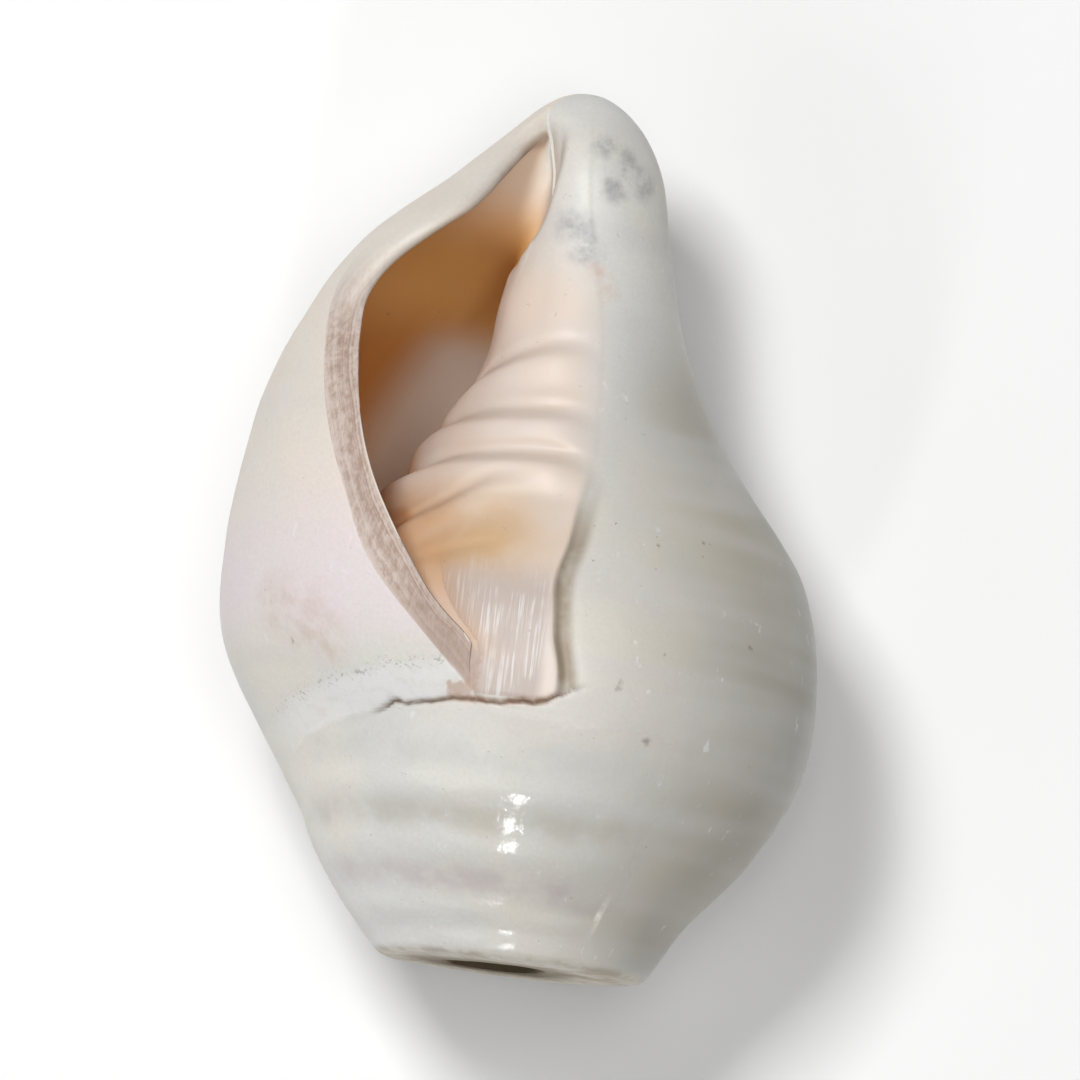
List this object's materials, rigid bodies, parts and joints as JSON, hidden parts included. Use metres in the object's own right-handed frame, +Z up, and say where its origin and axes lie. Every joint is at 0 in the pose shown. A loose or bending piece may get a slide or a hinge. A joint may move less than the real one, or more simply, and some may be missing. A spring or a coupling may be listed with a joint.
{
  "type": "conch shell",
  "caption": "Polished spiral sea shell with a long open mouth, folds on its pillar and a cut spire with a round blow hole.",
  "frame": {"origin": "centre of the bounding box in X and Y, on the ground the shell's back rests on", "axes": "+Y toward the canal tip, +Z up out of the mouth, +X away from the lip"},
  "size_m": [0.1012, 0.147, 0.0925],
  "materials": {
    "shell": "polished"
  },
  "bodies": {
    "root": {"shell": "shell"}
  },
  "joints": []
}
